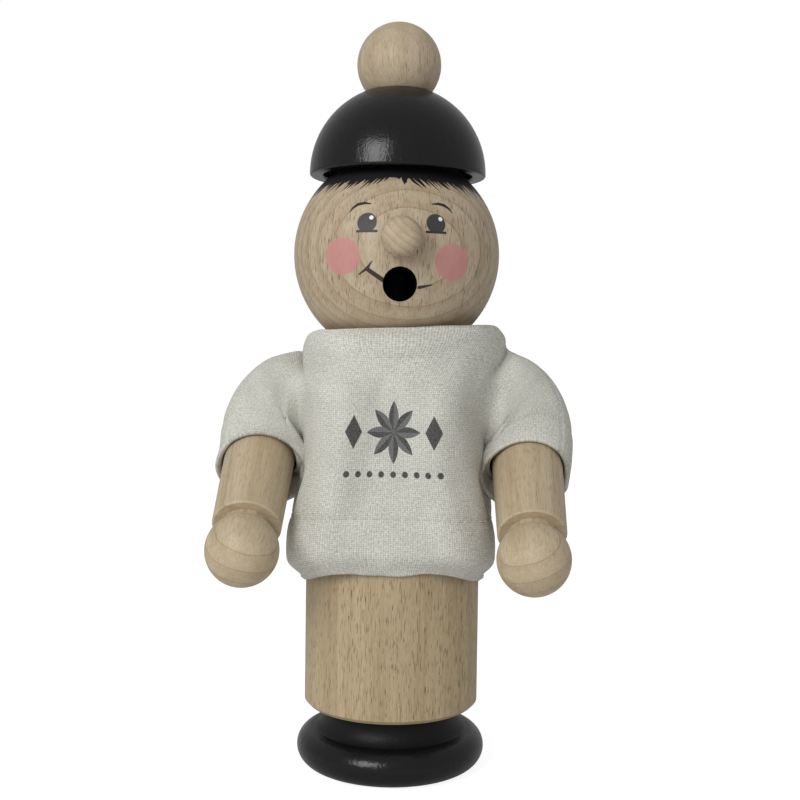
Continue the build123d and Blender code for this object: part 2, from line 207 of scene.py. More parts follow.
class Graph:
    """A material whose nodes are written as calls."""

    def __init__(self, name):
        self.material = bpy.data.materials.new(name)
        self.material.use_nodes = True
        self.nodes = self.material.node_tree.nodes
        self.links = self.material.node_tree.links
        self.shader = self.nodes["Principled BSDF"]

    def put(self, socket, value):
        if isinstance(value, bpy.types.NodeSocket):
            self.links.new(value, socket)
        elif socket.type == "RGBA":
            socket.default_value = (*value, 1.0)
        else:
            socket.default_value = value

    def finish(self, colour, height=None, depth=0.1 * MM, strength=0.5, **constants):
        self.put(self.shader.inputs["Base Color"], colour)
        for name, value in constants.items():
            self.put(self.shader.inputs[name.replace("_", " ")], value)
        if height is not None:
            bump = self.nodes.new("ShaderNodeBump")
            bump.inputs["Strength"].default_value = strength
            bump.inputs["Distance"].default_value = depth
            self.put(bump.inputs["Height"], height)
            self.put(self.shader.inputs["Normal"], bump.outputs["Normal"])
        return self.material

    def coordinates(self, kind="Object"):
        return self.nodes.new("ShaderNodeTexCoord").outputs[kind]

    def math(self, operation, *values):
        node = self.nodes.new("ShaderNodeMath")
        node.operation = operation
        for socket, value in zip(node.inputs, values):
            self.put(socket, value)
        return node.outputs[0]

    def vector(self, operation, *values):
        node = self.nodes.new("ShaderNodeVectorMath")
        node.operation = operation
        for socket, value in zip(node.inputs, values):
            self.put(socket, value)
        return node.outputs["Value" if operation in ("LENGTH", "DISTANCE", "DOT_PRODUCT") else "Vector"]

    def scaled(self, vector, factor):
        node = self.nodes.new("ShaderNodeVectorMath")
        node.operation = "SCALE"
        self.put(node.inputs[0], vector)
        self.put(node.inputs["Scale"], factor)
        return node.outputs["Vector"]

    def turned(self, vector, axis, angle):
        node = self.nodes.new("ShaderNodeVectorRotate")
        node.rotation_type = axis + "_AXIS"
        self.put(node.inputs["Vector"], vector)
        self.put(node.inputs["Angle"], angle)
        return node.outputs["Vector"]

    def split(self, vector):
        node = self.nodes.new("ShaderNodeSeparateXYZ")
        self.put(node.inputs[0], vector)
        return node.outputs

    def joined(self, x, y, z=0.0):
        node = self.nodes.new("ShaderNodeCombineXYZ")
        for socket, value in zip(node.inputs, (x, y, z)):
            self.put(socket, value)
        return node.outputs[0]

    def noise(self, vector, scale, detail=2.0, roughness=0.5):
        node = self.nodes.new("ShaderNodeTexNoise")
        self.put(node.inputs["Vector"], vector)
        node.inputs["Scale"].default_value = scale
        node.inputs["Detail"].default_value = detail
        node.inputs["Roughness"].default_value = roughness
        return node.outputs[0]

    def random(self, value):
        node = self.nodes.new("ShaderNodeTexWhiteNoise")
        node.noise_dimensions = "1D"
        self.put(node.inputs["W"], value)
        return node.outputs["Value"]

    def step(self, value, low, high):
        node = self.nodes.new("ShaderNodeMapRange")
        node.interpolation_type = "SMOOTHSTEP"
        for name, number in (("Value", value), ("From Min", low), ("From Max", high)):
            self.put(node.inputs[name], number)
        return node.outputs[0]

    def mix(self, factor, first, second):
        node = self.nodes.new("ShaderNodeMix")
        node.data_type = "RGBA"
        for socket, value in ((node.inputs[0], factor), (node.inputs[6], first), (node.inputs[7], second)):
            self.put(socket, value)
        return node.outputs[2]

    def times(self, first, second):
        return self.math("MULTIPLY", first, second)

    def linear(self, value, slope, base):
        return self.math("MULTIPLY_ADD", value, slope, base)

    def less(self, value):
        """What a value leaves of one."""
        return self.math("SUBTRACT", 1.0, value)

    def clamped(self, value, low=0.0, high=1.0):
        return self.math("MINIMUM", self.math("MAXIMUM", value, low), high)


# Wood

BEECH_LIGHT = (0.489, 0.406, 0.288)
BEECH_DARK = (0.403, 0.313, 0.204)
BEECH_RING = (0.27, 0.19, 0.12)
BEECH_FLECK = (0.14, 0.09, 0.055)
RING_GAP = 3.45 * MM
RING_WAVER = 0.3
RING_LATE = 0.3
RING_LINE = (0.9, 0.965)
RING_EDGE = 0.975
WAVER_STRETCH = (1, 1, 0.3)
WAVER_SCALE = 70
GRAIN_STRETCH = (1, 1, 0.03)
BAND_SCALE = 260
BAND_SHADE = (2.2, -0.7)
STREAK_SCALE = 2600
STREAK_SHADE = (0.5, 0.75)
STREAK_RELIEF = 0.5
RAY_DEPTH = 0.07
RAY_HEIGHT = 0.043
FLECK_SCALE = 8500
FLECK_STEP = (0.62, 0.68)
FLECK_RELIEF = 0.8
PORE_SCALE = 13000
PORE_STEP = (0.55, 0.66)
PORE_SHARE = 0.3
END_GRAIN = (0.35, 0.8)
WOOD_FINISH = {"depth": 0.05 * MM, "strength": 0.35, "Roughness": 0.5, "Specular_IOR_Level": 0.35}


def beech_surface(graph, about, pith, turns=(), first_ring=0.0, ring_gap=RING_GAP, ring_strength=0.2,
                  fleck_strength=0.6, tint=(1, 1, 1)):
    """The colour and relief of beech whose rings circle an upright axis at pith from about, once turned."""
    place = graph.vector("SUBTRACT", graph.coordinates(), tuple(about))
    facing = graph.coordinates("Normal")
    for axis, angle in turns:
        place = graph.turned(place, axis, angle)
        facing = graph.turned(facing, axis, angle)
    flank = graph.less(graph.step(graph.math("ABSOLUTE", graph.split(facing)[2]), *END_GRAIN))
    waver = graph.noise(graph.vector("MULTIPLY", place, WAVER_STRETCH), WAVER_SCALE, 2)
    x, y, z = graph.split(graph.vector("SUBTRACT", place, (*pith, 0)))
    radius = graph.vector("LENGTH", graph.joined(x, y))
    angle = graph.math("ARCTAN2", x, graph.times(y, -1.0))
    around = graph.times(angle, math.hypot(*pith))
    rays = graph.joined(around, graph.times(radius, RAY_DEPTH), graph.times(z, RAY_HEIGHT))
    rings = graph.math("DIVIDE", graph.math("SUBTRACT", radius, first_ring), ring_gap)
    rings = graph.linear(graph.math("SUBTRACT", waver, 0.5), RING_WAVER, rings)
    phase = graph.math("FRACT", rings)
    edge = graph.less(graph.step(phase, RING_EDGE, 1.0))
    late = graph.times(graph.step(phase, RING_LATE, RING_EDGE), edge)
    line = graph.times(graph.step(phase, *RING_LINE), edge)
    grain = graph.vector("MULTIPLY", place, GRAIN_STRETCH)
    bands = graph.noise(grain, BAND_SCALE, 3, 0.6)
    streaks = graph.noise(grain, STREAK_SCALE, 2, 0.6)
    flecks = graph.step(graph.noise(rays, FLECK_SCALE, 1, 0.4), *FLECK_STEP)
    pores = graph.step(graph.noise(rays, PORE_SCALE, 1, 0.4), *PORE_STEP)
    flecks = graph.times(flecks, flank)
    pores = graph.times(pores, flank)
    shade = graph.linear(bands, *BAND_SHADE)
    shade = graph.linear(late, ring_strength, shade)
    # The tint sets the wood's tone; for the arms it also holds painted light that brightens them.
    colour = graph.vector("MULTIPLY", graph.mix(shade, BEECH_LIGHT, BEECH_DARK), tint)
    colour = graph.mix(graph.times(line, ring_strength), colour, BEECH_RING)
    colour = graph.scaled(colour, graph.linear(streaks, *STREAK_SHADE))
    colour = graph.mix(graph.times(pores, PORE_SHARE * fleck_strength), colour, BEECH_FLECK)
    colour = graph.mix(graph.times(flecks, fleck_strength), colour, BEECH_FLECK)
    height = graph.times(streaks, STREAK_RELIEF)
    height = graph.linear(flecks, -FLECK_RELIEF, height)
    height = graph.linear(line, -ring_strength, height)
    return place, colour, height


def beech(name, about, pith, turns=(), **looks):
    graph = Graph(name)
    _, colour, height = beech_surface(graph, about, pith, turns, **looks)
    return graph.finish(colour, height, **WOOD_FINISH)


# Face, painted on the head; places are on the ball, in metres right of and above its centre

HEAD_PITH = (-5.0 * MM, 29.6 * MM)
HEAD_GRAIN = {"first_ring": 51.3 * MM, "ring_gap": 2.1 * MM, "ring_strength": 0.6, "fleck_strength": 0.8}
PAINT_EDGE = 0.07 * MM
INK = (0.012, 0.012, 0.014)
EYE_PAINT = (0.03, 0.03, 0.034)
MOUTH_PAINT = (0.035, 0.022, 0.02)
CHEEK_PAINT = (0.52, 0.225, 0.212)
BORE_SOOT_AND_SHADE = (0.006, 0.005, 0.0045)
BORE_SOOT_AND_SHADE_DEPTHS = (0.9 * MM, 0.2 * MM)
WHITE_PAINT = (0.8, 0.8, 0.8)
EYE_PLACES = ((-7.8 * MM, 5.6 * MM), (7.8 * MM, 5.6 * MM))
EYE_RADIUS = 2.3 * MM
EYE_COVER = 0.96
LID_HALF = 2.15 * MM
LID_WIDTH = 0.3 * MM
GLINT_OFFSET = (1.0 * MM, 1.1 * MM)
GLINT_RADIUS = 0.5 * MM
BROWS = (
    ((-11.7 * MM, 8.1 * MM), (-10.9 * MM, 9.1 * MM), (-9.8 * MM, 9.85 * MM), (-8.4 * MM, 10.1 * MM),
     (-6.9 * MM, 9.9 * MM)),
    ((11.6 * MM, 8.4 * MM), (10.8 * MM, 9.3 * MM), (9.7 * MM, 10.0 * MM), (8.4 * MM, 10.25 * MM),
     (6.9 * MM, 10.1 * MM)),
)
BROW_WIDTHS = (0.1 * MM, 0.28 * MM, 0.38 * MM, 0.34 * MM, 0.14 * MM)
CHEEK_PLACES = ((-13.2 * MM, -1.9 * MM), (11.7 * MM, -2.9 * MM))
CHEEK_RADIUS = 4.15 * MM
CHEEK_EDGE = 0.35 * MM
CHEEK_FLATTEN = 0.55
CHEEK_COVER = 0.85
MOUTH_STROKES = (
    ((-3.5 * MM, -7.6 * MM), (-7.5 * MM, -4.95 * MM), 0.55 * MM, 0.5 * MM),
    ((-9.4 * MM, -6.0 * MM), (-7.7 * MM, -4.75 * MM), 0.14 * MM, 0.36 * MM),
    ((-7.7 * MM, -4.75 * MM), (-6.55 * MM, -3.1 * MM), 0.36 * MM, 0.1 * MM),
    ((4.2 * MM, -8.8 * MM), (7.1 * MM, -8.15 * MM), 0.42 * MM, 0.14 * MM),
)
HAIRLINE = 0.66
HAIR_FALL = 0.038
HAIR_FAN = 1.1
HAIR_PARTING = 4.0 * MM
HAIR_STROKES = ((0.046, 0.14), (0.071, 0.11))
HAIR_POINT = 0.8
HAIR_EDGE = 0.003


def on_ball(place):
    """The point of the head's front at a place right of and above its centre."""
    x, z = place
    return (x, -math.sqrt(HEAD_RADIUS**2 - x * x - z * z), z)


def disc(graph, point, place, radius, edge=PAINT_EDGE, flatten=1.0):
    """A round spot; flatten below 1 counts depth for less, so that it looks rounder from the front."""
    apart = graph.vector("SUBTRACT", point, on_ball(place))
    apart = graph.vector("LENGTH", graph.vector("MULTIPLY", apart, (1, flatten, 1)))
    return graph.less(graph.step(apart, radius - edge, radius + edge))


def stroke(graph, point, start, end, start_width, end_width):
    """A brush stroke between two places, with a half width at each end."""
    start = Vector(on_ball(start))
    run = Vector(on_ball(end)) - start
    offset = graph.vector("SUBTRACT", point, tuple(start))
    share = graph.math("DIVIDE", graph.vector("DOT_PRODUCT", offset, tuple(run)), run.length_squared)
    share = graph.clamped(share)
    apart = graph.vector("DISTANCE", offset, graph.scaled(tuple(run), share))
    width = graph.linear(share, end_width - start_width, start_width)
    inside = graph.math("SUBTRACT", width, apart)
    return graph.step(inside, -PAINT_EDGE, PAINT_EDGE)


def hair(graph, point):
    """Black hair that ends below the cap in strokes of differing length, fanning out to the sides."""
    x, y, z = graph.split(point)
    turn = graph.math("ARCTAN2", x, graph.times(y, -1.0))
    fall = graph.times(graph.times(turn, turn), HAIR_FALL)
    rise = graph.math("ADD", graph.math("DIVIDE", z, HEAD_RADIUS), fall)
    side = graph.clamped(graph.math("DIVIDE", x, HAIR_PARTING), -1.0, 1.0)
    lean = graph.times(side, graph.linear(rise, -HAIR_FAN, HAIR_FAN * HAIRLINE))
    start = graph.math("SUBTRACT", turn, lean)
    line = HAIRLINE
    for pitch, reach in HAIR_STROKES:
        count = graph.math("DIVIDE", start, pitch)
        share = graph.math("FRACT", count)
        long = graph.times(graph.random(graph.math("FLOOR", count)), reach)
        spike = graph.less(graph.math("ABSOLUTE", graph.linear(share, 2.0, -1.0)))
        tip = graph.times(long, graph.math("POWER", spike, HAIR_POINT))
        line = graph.math("MINIMUM", line, graph.math("SUBTRACT", HAIRLINE, tip))
    return graph.step(graph.math("SUBTRACT", rise, line), -HAIR_EDGE, HAIR_EDGE)


def painted_head():
    graph = Graph("painted_beech")
    place, colour, height = beech_surface(graph, HEAD_CENTRE, HEAD_PITH, **HEAD_GRAIN)
    point = graph.turned(place, "Z", -FACE_TURN)

    def layer(mask, paint, cover=1.0):
        nonlocal colour
        colour = graph.mix(graph.times(mask, cover), colour, paint)

    for cheek in CHEEK_PLACES:
        layer(disc(graph, point, cheek, CHEEK_RADIUS, CHEEK_EDGE, CHEEK_FLATTEN), CHEEK_PAINT, CHEEK_COVER)
    for x, z in EYE_PLACES:
        layer(disc(graph, point, (x, z), EYE_RADIUS), EYE_PAINT, EYE_COVER)
        low = z - EYE_RADIUS + LID_WIDTH
        layer(stroke(graph, point, (x - LID_HALF, low), (x + LID_HALF, low), LID_WIDTH, LID_WIDTH), EYE_PAINT)
        layer(disc(graph, point, (x + GLINT_OFFSET[0], z + GLINT_OFFSET[1]), GLINT_RADIUS), WHITE_PAINT)
    for brow in BROWS:
        for k in range(len(brow) - 1):
            layer(stroke(graph, point, brow[k], brow[k + 1], BROW_WIDTHS[k], BROW_WIDTHS[k + 1]), INK)
    for start, end, start_width, end_width in MOUTH_STROKES:
        layer(stroke(graph, point, start, end, start_width, end_width), MOUTH_PAINT)
    layer(hair(graph, point), INK)
    # Soot and painted shade: the bore and flue inside the head are darkened almost to black.
    deepest, shallowest = (HEAD_RADIUS - depth for depth in BORE_SOOT_AND_SHADE_DEPTHS)
    layer(graph.less(graph.step(graph.vector("LENGTH", place), deepest, shallowest)), BORE_SOOT_AND_SHADE)
    return graph.finish(colour, height, **WOOD_FINISH)


# Other finishes

LACQUER_DARK = (0.004, 0.004, 0.0045)
LACQUER_LIGHT = (0.008, 0.008, 0.0085)
BRUSH_STRETCH = (1, 1, 0.2)
BRUSH_SCALE = 900
BEAD_SCALE = 1900
BEAD_ROUGHNESS = (0.16, 0.15)
DULL_ROUGHNESS = 0.25
GLOSS = 0.3
DULL_GLOSS = 0.2
DULL_EDGE = 0.6 * MM
BRASS_BRIGHT = (0.72, 0.52, 0.24)
BRASS_STAIN = (0.2, 0.13, 0.07)
STEEL_DARK = (0.42, 0.42, 0.43)
STEEL_LIGHT = (0.62, 0.61, 0.6)
INCENSE_DARK = (0.05, 0.03, 0.022)
INCENSE_LIGHT = (0.17, 0.105, 0.07)


def black_lacquer(name, dull_above):
    """Brushed black lacquer that is dull above a height."""
    graph = Graph(name)
    place = graph.coordinates()
    brushed = graph.noise(graph.vector("MULTIPLY", place, BRUSH_STRETCH), BRUSH_SCALE, 3, 0.65)
    beads = graph.noise(place, BEAD_SCALE, 1)
    dull = graph.step(graph.split(place)[2], dull_above - DULL_EDGE, dull_above + DULL_EDGE)
    colour = graph.mix(brushed, LACQUER_DARK, LACQUER_LIGHT)
    rough = graph.linear(dull, DULL_ROUGHNESS, graph.linear(beads, *BEAD_ROUGHNESS))
    gloss = graph.linear(dull, DULL_GLOSS - GLOSS, GLOSS)
    height = graph.linear(beads, 0.5, brushed)
    return graph.finish(colour, height, 0.15 * MM, 0.5, Roughness=rough, Specular_IOR_Level=gloss)


def brass():
    graph = Graph("brass")
    place = graph.coordinates()
    stain = graph.step(graph.noise(place, 260, 4, 0.6), 0.48, 0.72)
    colour = graph.mix(stain, BRASS_BRIGHT, BRASS_STAIN)
    rough = graph.linear(stain, 0.3, 0.28)
    return graph.finish(colour, graph.noise(place, 1900, 2), 0.03 * MM, 0.2, Metallic=1.0, Roughness=rough)


def steel():
    graph = Graph("steel")
    scuffs = graph.noise(graph.coordinates(), 2400, 3)
    colour = graph.mix(scuffs, STEEL_DARK, STEEL_LIGHT)
    rough = graph.linear(scuffs, 0.25, 0.25)
    return graph.finish(colour, scuffs, 0.02 * MM, 0.2, Metallic=1.0, Roughness=rough)


def incense():
    graph = Graph("incense")
    grains = graph.noise(graph.coordinates(), 2600, 3, 0.7)
    colour = graph.mix(grains, INCENSE_DARK, INCENSE_LIGHT)
    return graph.finish(colour, grains, 0.2 * MM, 0.6, Roughness=0.95, Specular_IOR_Level=0.1)


# Shirt cloth: a fine knit with a printed folk star on the chest

CLOTH_LIGHT = (0.775, 0.77, 0.712)
CLOTH_DARK = (0.36, 0.353, 0.295)
PRINT_DARK = (0.033, 0.035, 0.038)
PRINT_GREY = (0.12, 0.12, 0.125)
WALE = 0.52 * MM
COURSE = 0.44 * MM
LOOP_LEAN = 1.4
KNIT_WAVER = 6.0
KNIT_SHADE = (-0.6, 0.75)
FUZZ_SCALE = 1800
FUZZ_SHADE = 1.6
MOTTLE_SCALE = 130
MOTTLE_SHADE = 0.5
TWIST = 0.35 * MM
PRINT_EDGE = 0.12 * MM
PRINT_WEAR = (-0.45, 1.12)
STAR_PLACE = (1.0 * MM, 32.3 * MM)
STAR_OUTER = 7.2 * MM
STAR_INNER = 3.3 * MM
STAR_POINTS = 8
DIAMOND_OFFSET = 10.7 * MM
DIAMOND_SIZE = (2.2 * MM, 3.9 * MM)
DOT_ROW = 9.6 * MM
DOT_PITCH = 3.0 * MM
DOT_RADIUS = 0.75 * MM
DOT_REACH = 13.2 * MM


def chest_print(graph, cut):
    """Masks of the dark and the grey ink of a star between two diamonds, over a row of dots."""
    x, y, _ = graph.split(graph.vector("SUBTRACT", cut, (*STAR_PLACE, 0)))
    radius = graph.vector("LENGTH", graph.joined(x, y))
    turn = graph.math("DIVIDE", graph.math("ARCTAN2", x, y), 2 * math.pi / STAR_POINTS)
    share = graph.math("FRACT", graph.math("ADD", turn, STAR_POINTS))
    spike = graph.math("ABSOLUTE", graph.linear(share, 2.0, -1.0))
    edge = graph.linear(spike, STAR_OUTER - STAR_INNER, STAR_INNER)
    star = graph.step(graph.math("SUBTRACT", edge, radius), -PRINT_EDGE, PRINT_EDGE)
    facet = graph.step(share, 0.48, 0.52)
    across = graph.math("SUBTRACT", graph.math("ABSOLUTE", x), DIAMOND_OFFSET)
    slant = graph.math("DIVIDE", graph.math("ABSOLUTE", across), DIAMOND_SIZE[0])
    slant = graph.math("ADD", slant, graph.math("DIVIDE", graph.math("ABSOLUTE", y), DIAMOND_SIZE[1]))
    diamond = graph.less(graph.step(slant, 0.95, 1.05))
    nearest = graph.times(graph.math("ROUND", graph.math("DIVIDE", x, DOT_PITCH)), DOT_PITCH)
    apart = graph.joined(graph.math("SUBTRACT", x, nearest), graph.math("ADD", y, DOT_ROW))
    apart = graph.vector("LENGTH", apart)
    dots = graph.less(graph.step(apart, DOT_RADIUS - PRINT_EDGE, DOT_RADIUS + PRINT_EDGE))
    dots = graph.times(dots, graph.math("LESS_THAN", graph.math("ABSOLUTE", x), DOT_REACH))
    dark = graph.math("MAXIMUM", graph.times(star, facet), graph.math("MAXIMUM", diamond, dots))
    return dark, graph.times(star, graph.less(facet))


def shirt_cloth():
    graph = Graph("shirt_cloth")
    cut = graph.coordinates("UV")
    waver = graph.times(graph.noise(cut, 900, 2), KNIT_WAVER)
    x, y, _ = graph.split(cut)
    wales = graph.math("SINE", graph.linear(x, 2 * math.pi / WALE, waver))
    lean = graph.times(graph.math("ABSOLUTE", wales), LOOP_LEAN)
    courses = graph.linear(y, 2 * math.pi / COURSE, lean)
    loops = graph.math("SINE", graph.math("ADD", waver, courses))
    knit = graph.linear(loops, 0.25, graph.linear(wales, 0.25, 0.5))
    fuzz = graph.noise(cut, FUZZ_SCALE, 2, 0.7)
    mottle = graph.noise(cut, MOTTLE_SCALE, 3)
    shade = graph.linear(knit, *KNIT_SHADE)
    shade = graph.linear(graph.math("SUBTRACT", fuzz, 0.5), FUZZ_SHADE, shade)
    shade = graph.linear(graph.math("SUBTRACT", mottle, 0.5), MOTTLE_SHADE, shade)
    colour = graph.mix(graph.clamped(shade), CLOTH_LIGHT, CLOTH_DARK)
    dark, grey = chest_print(graph, cut)
    worn = graph.linear(fuzz, *PRINT_WEAR)
    colour = graph.mix(graph.times(grey, worn), colour, PRINT_GREY)
    colour = graph.mix(graph.times(dark, worn), colour, PRINT_DARK)
    height = graph.math("ADD", knit, graph.times(fuzz, 0.6))
    return graph.finish(colour, height, 0.12 * MM, 0.8, Roughness=0.95, Specular_IOR_Level=0.1)


def thread():
    graph = Graph("thread")
    x, _, z = graph.split(graph.coordinates())
    twist = graph.math("SINE", graph.times(graph.math("ADD", x, z), 2 * math.pi / TWIST))
    colour = graph.mix(graph.linear(twist, 0.25, 0.5), CLOTH_LIGHT, CLOTH_DARK)
    return graph.finish(colour, twist, 0.04 * MM, 0.4, Roughness=0.8, Specular_IOR_Level=0.2)


# Shirt: cut, sewn and worn

def cut_lines():
    """The grid lines of the cut across and up, and the line where the sleeves begin."""
    def spread(low, high):
        count = round((high - low) / CELL)
        return [low + (high - low) * i / count for i in range(1, count + 1)]

    half = spread(0, HALF_BODY) + spread(HALF_BODY, HALF_SPAN)
    across = [-x for x in reversed(half)] + [0.0] + half
    low = [0.0] + spread(0, ARMPIT)
    up = low + spread(ARMPIT, SHIRT_LENGTH)
    return across, up, len(low) - 1


def box_place(across):
    """A point of the boxy tube's half section, by its distance from the middle of the front."""
    quarter = BOX_CORNER * math.pi / 2
    if across <= BOX_FLAT:
        return across, -BOX_DEPTH
    if across <= BOX_FLAT + quarter:
        angle = (across - BOX_FLAT) / BOX_CORNER
        return BOX_FLAT + BOX_CORNER * math.sin(angle), -BOX_DEPTH + BOX_CORNER * (1 - math.cos(angle))
    rest = min(across, HALF_BODY) - BOX_FLAT - quarter
    return BOX_FLAT + BOX_CORNER, min(-BOX_DEPTH + BOX_CORNER + rest, 0.0)


def sleeve_place(side, panel, along, turn):
    """A point of a sleeve, put on the left, by its share of the way to the cuff and its turn around."""
    tilt = ARM_TILTS[side]
    way = arm_way(tilt)
    over = Vector((0, -math.cos(tilt), math.sin(tilt)))
    out = Vector((1, 0, 0))
    shift = out * SLEEVE_SHIFTS[side]
    cuff = LEFT_PIVOTS[side] + way * CUFF_REACH - shift
    centre = ARMHOLE * (1 - along) ** 2 + (CROWN - 2 * shift) * 2 * along * (1 - along) + cuff * along**2
    seam = Vector((0, 0, 1)).lerp(over * math.cos(CUFF_TURN) + out * math.sin(CUFF_TURN), along).normalized()
    front = Vector((0, -1, 0)).lerp(over * math.sin(CUFF_TURN) - out * math.cos(CUFF_TURN), along)
    front = (front - seam * front.dot(seam)).normalized()
    swell = SLEEVE_SWELL * math.sin(math.pi * along)
    rise = ARMHOLE_RISE + (CUFF_RADIUS - ARMHOLE_RISE) * along + swell
    depth = ARMHOLE_DEPTH + (CUFF_RADIUS - ARMHOLE_DEPTH) * along + swell
    reach = seam * rise * math.sin(turn) - front * panel * depth * math.cos(turn)
    return centre + reach - way * CUFF_SLANT * along**2 * reach.dot(over) / CUFF_RADIUS


def cleared(side, place, room):
    """A place on the left moved out of the arm, with room for the cloth, and out of the trunk."""
    way = arm_way(ARM_TILTS[side])
    pivot = LEFT_PIVOTS[side]
    near = pivot + way * max((place - pivot).dot(way), 0.0)
    gap = place - near
    if gap.length < room:
        place = near + gap * room / gap.length
    radius = math.hypot(place.x, place.y)
    if place.z < TORSO_TOP and radius < BODY_RADIUS + TRUNK_ROOM:
        place = Vector((*(place.xy * (BODY_RADIUS + TRUNK_ROOM) / radius), place.z))
    return place


def sleeve_turn(up):
    """How far around its sleeve a height of the cut is, from the under seam at -90 degrees to the top."""
    return math.pi * (max(up - SHIRT_LENGTH + SLEEVE_WIDTH, 0.0) / SLEEVE_WIDTH - 0.5)


def sleeve_start(up):
    """How far across the cut a sleeve starts at a height."""
    return HALF_BODY + (SHOULDER_END - HALF_BODY) * (1 + math.sin(sleeve_turn(up))) / 2


def start_place(panel, across, up):
    """Where a point of the cut starts on the front panel, -1, or the back panel, 1."""
    sign = 1 if across > 0 else -1
    side = "left" if across > 0 else "right"
    across = abs(across)
    x, y = box_place(across)
    roll = 1 - HEM_ROLL * (1 - smooth_step(0, HEM_ROLL_HEIGHT, up)) / BOX_DEPTH
    gather = smooth_step(SHIRT_LENGTH - NECK_GATHER, SHIRT_LENGTH, up)
    neck = min(across / HALF_NECK, 1.0)
    shoulder = max(0.0, min(across, HALF_BODY) - HALF_NECK)
    stand = min(shoulder, COLLAR_STAND)
    neck_x = NECK_WIDTHS[sign] * math.sin(neck * math.pi / 2)
    neck_x = neck_x + COLLAR_LEAN * stand + SHOULDER_SLOPE * (shoulder - stand)
    neck_y = -NECK_DEPTH * math.cos(neck * math.pi / 2)
    chest = 1 - (1 - CHEST_SHARE) * smooth_step(*CHEST_HEIGHTS, up)
    trunk = Vector((x * roll * chest, y * roll, START_TOP - SHIRT_LENGTH + up))
    trunk.x += (neck_x - trunk.x) * gather
    trunk.y += (neck_y - trunk.y) * gather
    rounded = max(0.0, min(neck_x, NECK_WIDTHS[sign]) - NECK_WIDTHS[sign] + COLLAR_CORNER)
    fall = COLLAR_CORNER - math.sqrt(COLLAR_CORNER**2 - rounded**2)
    trunk.z += (NECK_TILT * sign * min(neck_x, NECK_WIDTHS[sign]) - fall - stand) * gather
    trunk.z -= HEM_DROPS[sign] * smooth_step(*HEM_DROP_WIDTHS, across) * (1 - min(up / ARMPIT, 1.0))
    trunk.x += HEM_FLARE * x / (BOX_FLAT + BOX_CORNER) * (1 - smooth_step(0, 2 * ARMPIT, up))
    trunk.y *= -panel
    turn, start = sleeve_turn(up), sleeve_start(up)
    along = max(across - start, 0.0) / (HALF_SPAN - start)
    sleeve = sleeve_place(side, panel, along, turn)
    step = max(NECK_WIDTHS[sign] + ARMHOLE_STEP - ARMHOLE.x, 0.0)
    sleeve.x += step * max(math.sin(turn), 0.0) * (1 - along) ** 2
    high = smooth_step(*SLEEVE_HEIGHTS, up)
    if up >= ARMPIT:
        high += (1 - high) * smooth_step(start - SLEEVE_BEFORE, start + SLEEVE_AFTER, across)
    reach = SHOULDER_END - HALF_NECK + ARMPIT_REACH * (1 - math.sin(turn)) / 2
    place = trunk.lerp(sleeve, high * smooth_step(start - reach, start + SLEEVE_JOIN, across))
    if across > HALF_NECK:
        place = cleared(side, place, ARM_ROOM if across > start else BODY_ROOM)
    return Vector((sign * place.x, place.y, place.z))


def sewn_shirt():
    """The shirt's mesh at the simulation's scale, as it starts, with the cut's places as its UVs."""
    across, up, armpit = cut_lines()
    last = len(up) - 1
    tiny = CELL / 100
    index, points, faces, cuts, collar = {}, [], [], [], []
    for side in (-1, 1):
        for j, v in enumerate(up):
            for i, u in enumerate(across):
                if j < armpit and abs(u) > HALF_BODY + tiny:
                    continue
                shoulder = j == last and abs(u) > HALF_NECK - tiny
                under = j == armpit and abs(u) > HALF_BODY - tiny
                flank = j <= armpit and abs(u) > HALF_BODY - tiny
                sewn = shoulder or under or flank
                if sewn and side > 0:
                    index[side, i, j] = index[-1, i, j]
                    continue
                if j == last and abs(u) < HALF_NECK + tiny:
                    collar.append(len(points))
                index[side, i, j] = len(points)
                points.append(start_place(side, u, v) * SIM_SCALE)
    for side in (-1, 1):
        for j in range(last):
            for i in range(len(across) - 1):
                corners = [(i, j), (i + 1, j), (i + 1, j + 1), (i, j + 1)]
                if any((side, *corner) not in index for corner in corners):
                    continue
                corners = corners if side < 0 else corners[::-1]
                faces.append([index[(side, *corner)] for corner in corners])
                shift = 0.0 if side < 0 else BACK_OFFSET
                cuts += [(across[a] + shift, up[b]) for a, b in corners]
    shirt = mesh_object("sewn_shirt", points, faces)
    shirt.data.uv_layers.new(name="cut").data.foreach_set("uv", np.array(cuts, np.float32).ravel())
    shirt.vertex_groups.new(name="collar").add(collar, 1.0, "REPLACE")
    return shirt


def arc(radius, centre, start, end, count):
    """Points of radius and height on an arc between two angles in degrees."""
    angles = [math.radians(start + (end - start) * i / count) for i in range(count + 1)]
    return [(centre[0] + radius * math.cos(a), centre[1] + radius * math.sin(a)) for a in angles]


def lathe_collider(name, profile, friction):
    """A turned body that the cloth lies on, at the simulation's scale, its profile given from below."""
    count = COLLIDER_SIDES
    points, faces = [], []
    for radius, height in profile:
        for k in range(count):
            angle = 2 * math.pi * k / count
            points.append(Vector((radius * math.cos(angle), radius * math.sin(angle), height)) * SIM_SCALE)
    for j in range(len(profile) - 1):
        for k in range(count):
            low, high, turn = j * count, (j + 1) * count, (k + 1) % count
            faces.append((low + k, low + turn, high + turn, high + k))
    faces.append(list(range(count))[::-1])
    faces.append(list(range((len(profile) - 1) * count, len(profile) * count)))
    body = mesh_object(name, points, faces)
    body.modifiers.new("Collision", "COLLISION")
    body.collision.thickness_outer = 0.01
    body.collision.thickness_inner = 0.2
    body.collision.cloth_friction = friction
    return body


def trunk_collider():
    middle, edge, neck = 1 * MM, 2.5 * MM, 17 * MM
    profile = [(middle, LEGS_BOTTOM), (BODY_RADIUS, LEGS_BOTTOM)]
    profile += arc(edge, (BODY_RADIUS - edge, TORSO_TOP - edge), 0, 90, 6)
    profile += [(neck, TORSO_TOP)]
    profile += arc(HEAD_RADIUS, (0, HEAD_CENTRE.z), -50, 85, 30)
    return lathe_collider("trunk_collider", profile, 10.0)


